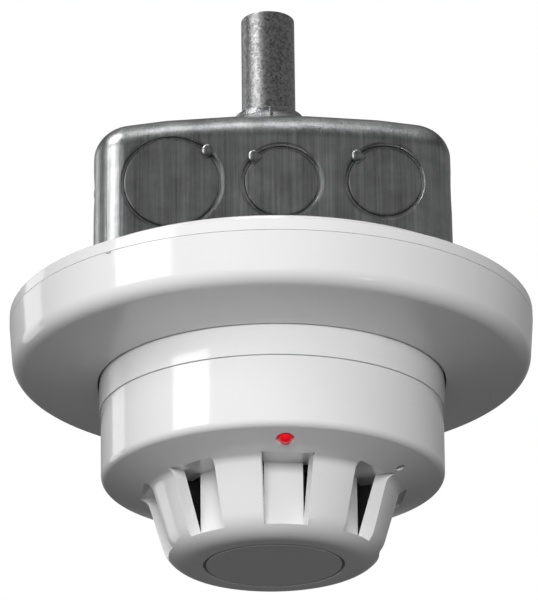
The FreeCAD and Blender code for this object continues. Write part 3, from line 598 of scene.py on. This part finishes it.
def upright(plug, across, height, side):
    """Stands a plug made flat over the rim's level on a side wall, and turns it to that side."""
    pick(plug)
    plug.location = (0, 0, -RIM)
    bpy.ops.object.transform_apply(location=True, rotation=True, scale=True)
    plug.rotation_euler = (math.pi / 2, 0, 0)
    plug.location = (across * MM, -BOX_HALF * MM, level(height))
    bpy.ops.object.transform_apply(location=True, rotation=True, scale=True)
    plug.rotation_euler = (0, 0, math.radians(90.0 * side))
    bpy.ops.object.transform_apply(location=True, rotation=True, scale=True)
    return plug


def build_box():
    """The drawn steel box: crowned top, knockouts on four sides and the back, and two ears."""
    deep = BOX_TOP - BOX_LOW + 20
    box = start("cube", "box", size=1, location=(0, 0, level(BOX_TOP - deep / 2)),
                scale=(2 * BOX_HALF * MM, 2 * BOX_HALF * MM, deep * MM))
    choose(box, "edges", lambda place, edge: height_of(place) > BOX_TOP - deep + 1)
    bpy.ops.mesh.bevel(offset=10.2 * MM, segments=12, affect="EDGES")
    bpy.ops.mesh.select_all(action="SELECT")
    bpy.ops.mesh.bisect(plane_co=(0, 0, level(BOX_LOW)), plane_no=(0, 0, 1), clear_inner=True)
    bpy.ops.object.mode_set(mode="OBJECT")
    for x in (-30, -10, 10, 30):
        split(box, (x * MM, 0, 0), (1, 0, 0))
        split(box, (0, x * MM, 0), (0, 1, 0))
    pick(box)
    bpy.ops.object.mode_set(mode="EDIT")
    for x, y in ((-1, -1), (1, -1), (-1, 1), (1, 1)):
        choose(box, "verts", lambda place, vertex: place.x * x > 36 * MM and place.y * y > 36 * MM
               and height_of(place) > BOX_TOP - 14)
        bpy.ops.transform.translate(value=(0, 0, -1.7 * MM), use_proportional_edit=True,
                                    proportional_edit_falloff="SMOOTH", proportional_size=34 * MM)
        choose(box, "verts", lambda place, vertex: place.x * x > 45 * MM and place.y * y > 45 * MM
               and height_of(place) > BOX_TOP - 8)
        bpy.ops.transform.translate(value=(0, 0, -1.4 * MM), use_proportional_edit=True,
                                    proportional_edit_falloff="SMOOTH", proportional_size=18 * MM)
    bpy.ops.object.mode_set(mode="OBJECT")
    pick(box)
    wall = box.modifiers.new("wall", "SOLIDIFY")
    wall.thickness, wall.offset, wall.use_quality_normals = BOX_WALL * MM, -1.0, True
    bpy.ops.object.modifier_apply(modifier=wall.name)

    layout = ((14.15, -28.7, 133.0), (11.1, 2.3, 225.0), (11.1, 31.5, 225.0))
    height = BOX_LOW + 17.6
    for side in range(4):
        for radius, across, tie in layout:
            carved(box, [upright(knockout_plug(radius, tie), across, height, side)])
    back = []
    for across in (-30.0, 30.0):
        plug = knockout_plug(11.1, 0.0)
        pick(plug)
        plug.location = (0, across * MM, BOX_TOP * MM)
        bpy.ops.object.transform_apply(location=True, rotation=True, scale=True)
        back.append(plug)
    back.append(peg("hole", 11.1, 40, 50))
    back += [peg("hole", 2.6, 40, 50, (x * 25.4, y * 25.4)) for x in (-1, 1) for y in (-1, 1)]
    back.append(peg("hole", 2.5, 40, 50, (-24.0, 0)))
    for tool in back:
        carved(box, [tool])
    extras = []
    for side in range(4):
        for radius, across, tie in layout:
            dimple = start("uv_sphere", "dimple", radius=1.0 * MM, segments=24, ring_count=12)
            bpy.ops.mesh.select_all(action="SELECT")
            bpy.ops.transform.resize(value=(1.5, 1.9, 0.5))
            bpy.ops.object.mode_set(mode="OBJECT")
            turn = math.radians(tie)
            reach = radius - 0.2
            pick(dimple)
            dimple.location = (reach * math.sin(turn) * MM, -reach * math.cos(turn) * MM, RIM)
            bpy.ops.object.transform_apply(location=True, rotation=True, scale=True)
            extras.append(upright(dimple, across, height, side))
    for sign in (-1, 1):
        ear = slab("ear", (9.6, 9.6, BOX_WALL), (sign * 41.2, sign * 41.2, BOX_LOW + BOX_WALL / 2), 0.3)
        carved(ear, [peg("hole", 1.7, 0, 10, (sign * EAR_SCREW, sign * EAR_SCREW))])
        extras.append(ear)
    settle(joined([box] + extras), "junction_box", 28.0)


def split(thing, place, normal):
    """Cuts a row of edges where a plane crosses a piece, and keeps both sides."""
    pick(thing)
    bpy.ops.object.mode_set(mode="EDIT")
    bpy.ops.mesh.select_all(action="SELECT")
    bpy.ops.mesh.bisect(plane_co=place, plane_no=normal)
    bpy.ops.object.mode_set(mode="OBJECT")


# ---------------------------------------------------------------- plate, trim flange and base

def build_plate():
    """The dished plate whose rim shows above the flange cover."""
    plate = turned("plate", [
        (25.0, 4.2, 0.3), (68.5, 4.2, 1.5), (70.5, 0.0, 0.8), (76.2, 0.0, 0.45), (76.2, -3.5, 0.12),
        (73.9, -3.5, 0.3), (73.9, -2.2), (69.4, -2.2, 0.8), (66.8, 1.6, 1.0), (25.0, 1.6, 0.3)], 192)
    holes = [peg("slot", 2.4, -2, 8, (sign * EAR_SCREW, sign * EAR_SCREW)) for sign in (-1, 1)]
    holes += [spun_to(peg("hole", BASE_SCREW_HOLE, -2, 8, (0, -BASE_SCREW)), azimuth) for azimuth in THIRDS]
    for hole in holes:
        carved(plate, [hole])
    settle(plate, "mounting_plate")


def build_trim():
    """The flange cover, with its notch and four inside fingers."""
    ring = turned("trim", [
        (76.2, -3.57, 0.12), (75.0, -17.8, 4.7), (50.45, -21.2, 0.6), (50.45, -18.9, 0.3),
        (72.7, -15.5, 2.4), (73.9, -3.65, 0.2)], 240)
    notch = slab("notch", (2.2, 3.2, 1.5), (0, -76.8, -3.65), 0.25)
    carved(ring, [spun_to(notch, -37.3)])
    finger = turned("finger", [(72.1, -9.0, 0.3), (72.1, -2.6, 0.3), (73.6, -2.6, 0.3), (73.6, -5.5),
                               (74.5, -5.5), (74.5, -9.0, 0.3)], 6, angle=10.0)
    pick(finger)
    bpy.ops.object.mode_set(mode="EDIT")
    bpy.ops.mesh.select_mode(type="EDGE")
    bpy.ops.mesh.select_all(action="DESELECT")
    bpy.ops.mesh.select_non_manifold()
    bpy.ops.mesh.fill()
    bpy.ops.mesh.select_all(action="SELECT")
    bpy.ops.mesh.normals_make_consistent(inside=False)
    bpy.ops.object.mode_set(mode="OBJECT")
    fingers = copied(finger, [-5.0 + 45.0 + 90.0 * n for n in range(4)])
    settle(joined([ring] + fingers), "trim_flange")


def build_base():
    """The base cup that the head plugs into, with three bayonet ledges."""
    cup = turned("base", [
        (18.0, 1.6, 0.3), (50.1, 1.6), (50.1, -29.93, 0.12), (47.9, -29.93, 0.3), (47.9, -0.8, 0.8),
        (18.0, -0.8, 0.3)], 216)
    tools = [spun_to(peg("hole", BASE_SCREW_HOLE, -3, 3, (0, -BASE_SCREW)), a) for a in THIRDS]
    tools += [spun_to(peg("hole", TERMINAL_SCREW_HOLE, -3, 1.0, (0, -TERMINAL_SCREW)), 80.0 + a)
              for a in THIRDS]
    for tool in tools:
        carved(cup, [tool])
    ledges = []
    for azimuth in THIRDS:
        ledge = slab("ledge", (14.5, 2.9, 1.6), (0, -47.3, -26.2), 0.3)
        ledges.append(spun_to(ledge, 20.0 + azimuth))
    settle(joined([cup] + ledges), "detector_base")


# ---------------------------------------------------------------- detector head

VENTS = [5.3 + 45.0 * number for number in range(8)]


def build_head():
    """The head cover: a turned shell with eight vents, a flat panel behind each."""
    cover = turned("cover", [
        (0.0, -71.7), (26.4, -71.7), (32.6, -53.3), (25.1, -53.3), (25.1, -51.2), (40.2, -51.2),
        (47.1, -47.9), (47.3, -30.0, 0.3), (49.6, -30.0, 0.12), (49.4, -50.2, 2.2), (36.2, -55.0, 3.0),
        (30.0, -75.5, 8.5), (20.2, -75.5, 0.25), (20.2, -72.9), (0.0, -72.9)], 248, closed=False)
    wedge = start("cube", "vent", size=1, location=(0, -31.8 * MM, level(-63.15)),
                  scale=(10.68 * MM, 11.6 * MM, 19.0 * MM))
    choose(wedge, "faces", lambda place, face: face.normal.y < -0.9)
    bpy.ops.transform.resize(value=(37.6 / 26.0, 1, 1))
    bpy.ops.object.mode_set(mode="OBJECT")
    for vent in copied(wedge, VENTS):
        carved(cover, [vent])
    lamp = peg("lamp_hole", 2.6, -56, -46, (0, -43.2), 48)
    lock = peg("lock_hole", 1.25, -56, -46, (0, -41.0), 32)
    carved(cover, [spun_to(lamp, 3.4)])
    carved(cover, [spun_to(lock, 59.9)])
    eased(cover, 0.3, lambda place, edge: 26.3 < radius_of(place) < 38.8
          and -72.9 < height_of(place) < -53.0)
    eased(cover, 0.22, lambda place, edge: 38.9 < radius_of(place) < 46.5
          and -54.6 < height_of(place) < -51.0 and edge.calc_length() < 0.8 * MM)
    panel = slab("panel", (11.0, 1.2, 20.4), (0, -25.4, -63.0))
    panels = copied(panel, VENTS)
    settle(joined([cover] + panels), "head_cover", 30.0)


def build_disc():
    """The flat disc let into the nose, with a groove left round it."""
    disc = turned("disc", [(0.0, -72.95), (19.4, -72.95), (19.4, -75.5, 0.25), (0.0, -75.5)], 160,
                  closed=False)
    settle(disc, "nose_disc")


def build_lamp():
    """The lamp's domed lens and the ring round it."""
    top, face, ball = -41.3, -51.7, 1.9
    lens = turned("lens", [(0.0, top), (ball, top)] + [
        (ball * math.cos(math.radians(a)), face - ball * math.sin(math.radians(a)))
        for a in range(0, 90, 6)] + [(0.0, face - ball)], 48, closed=False)
    bezel = turned("bezel", [(1.95, -48.8), (1.95, -51.2, 0.12), (2.56, -51.4, 0.12), (2.56, -48.8)], 48)
    for piece, node in ((lens, "lamp_lens"), (bezel, "lamp_bezel")):
        pick(piece)
        piece.location = (0, -43.2 * MM, 0)
        bpy.ops.object.transform_apply(location=True, rotation=True, scale=True)
        settle(spun_to(piece, 3.4), node)

BODY_OF = {node: body for body, members in frame["record"]["behaviour"]["bodies"].items()
           for node in members}


def dress_cad_nodes():
    for node, thing in NODES.items():
        thing.data.materials.clear()
        thing.data.materials.append(FINISHES[SLOT_OF[node]])


dress_cad_nodes()
rig_camera()
light_studio()
lay_floor()
build_conduit()
build_nut()
build_box()
build_plate()
build_trim()
build_base()
build_head()
build_disc()
build_lamp()
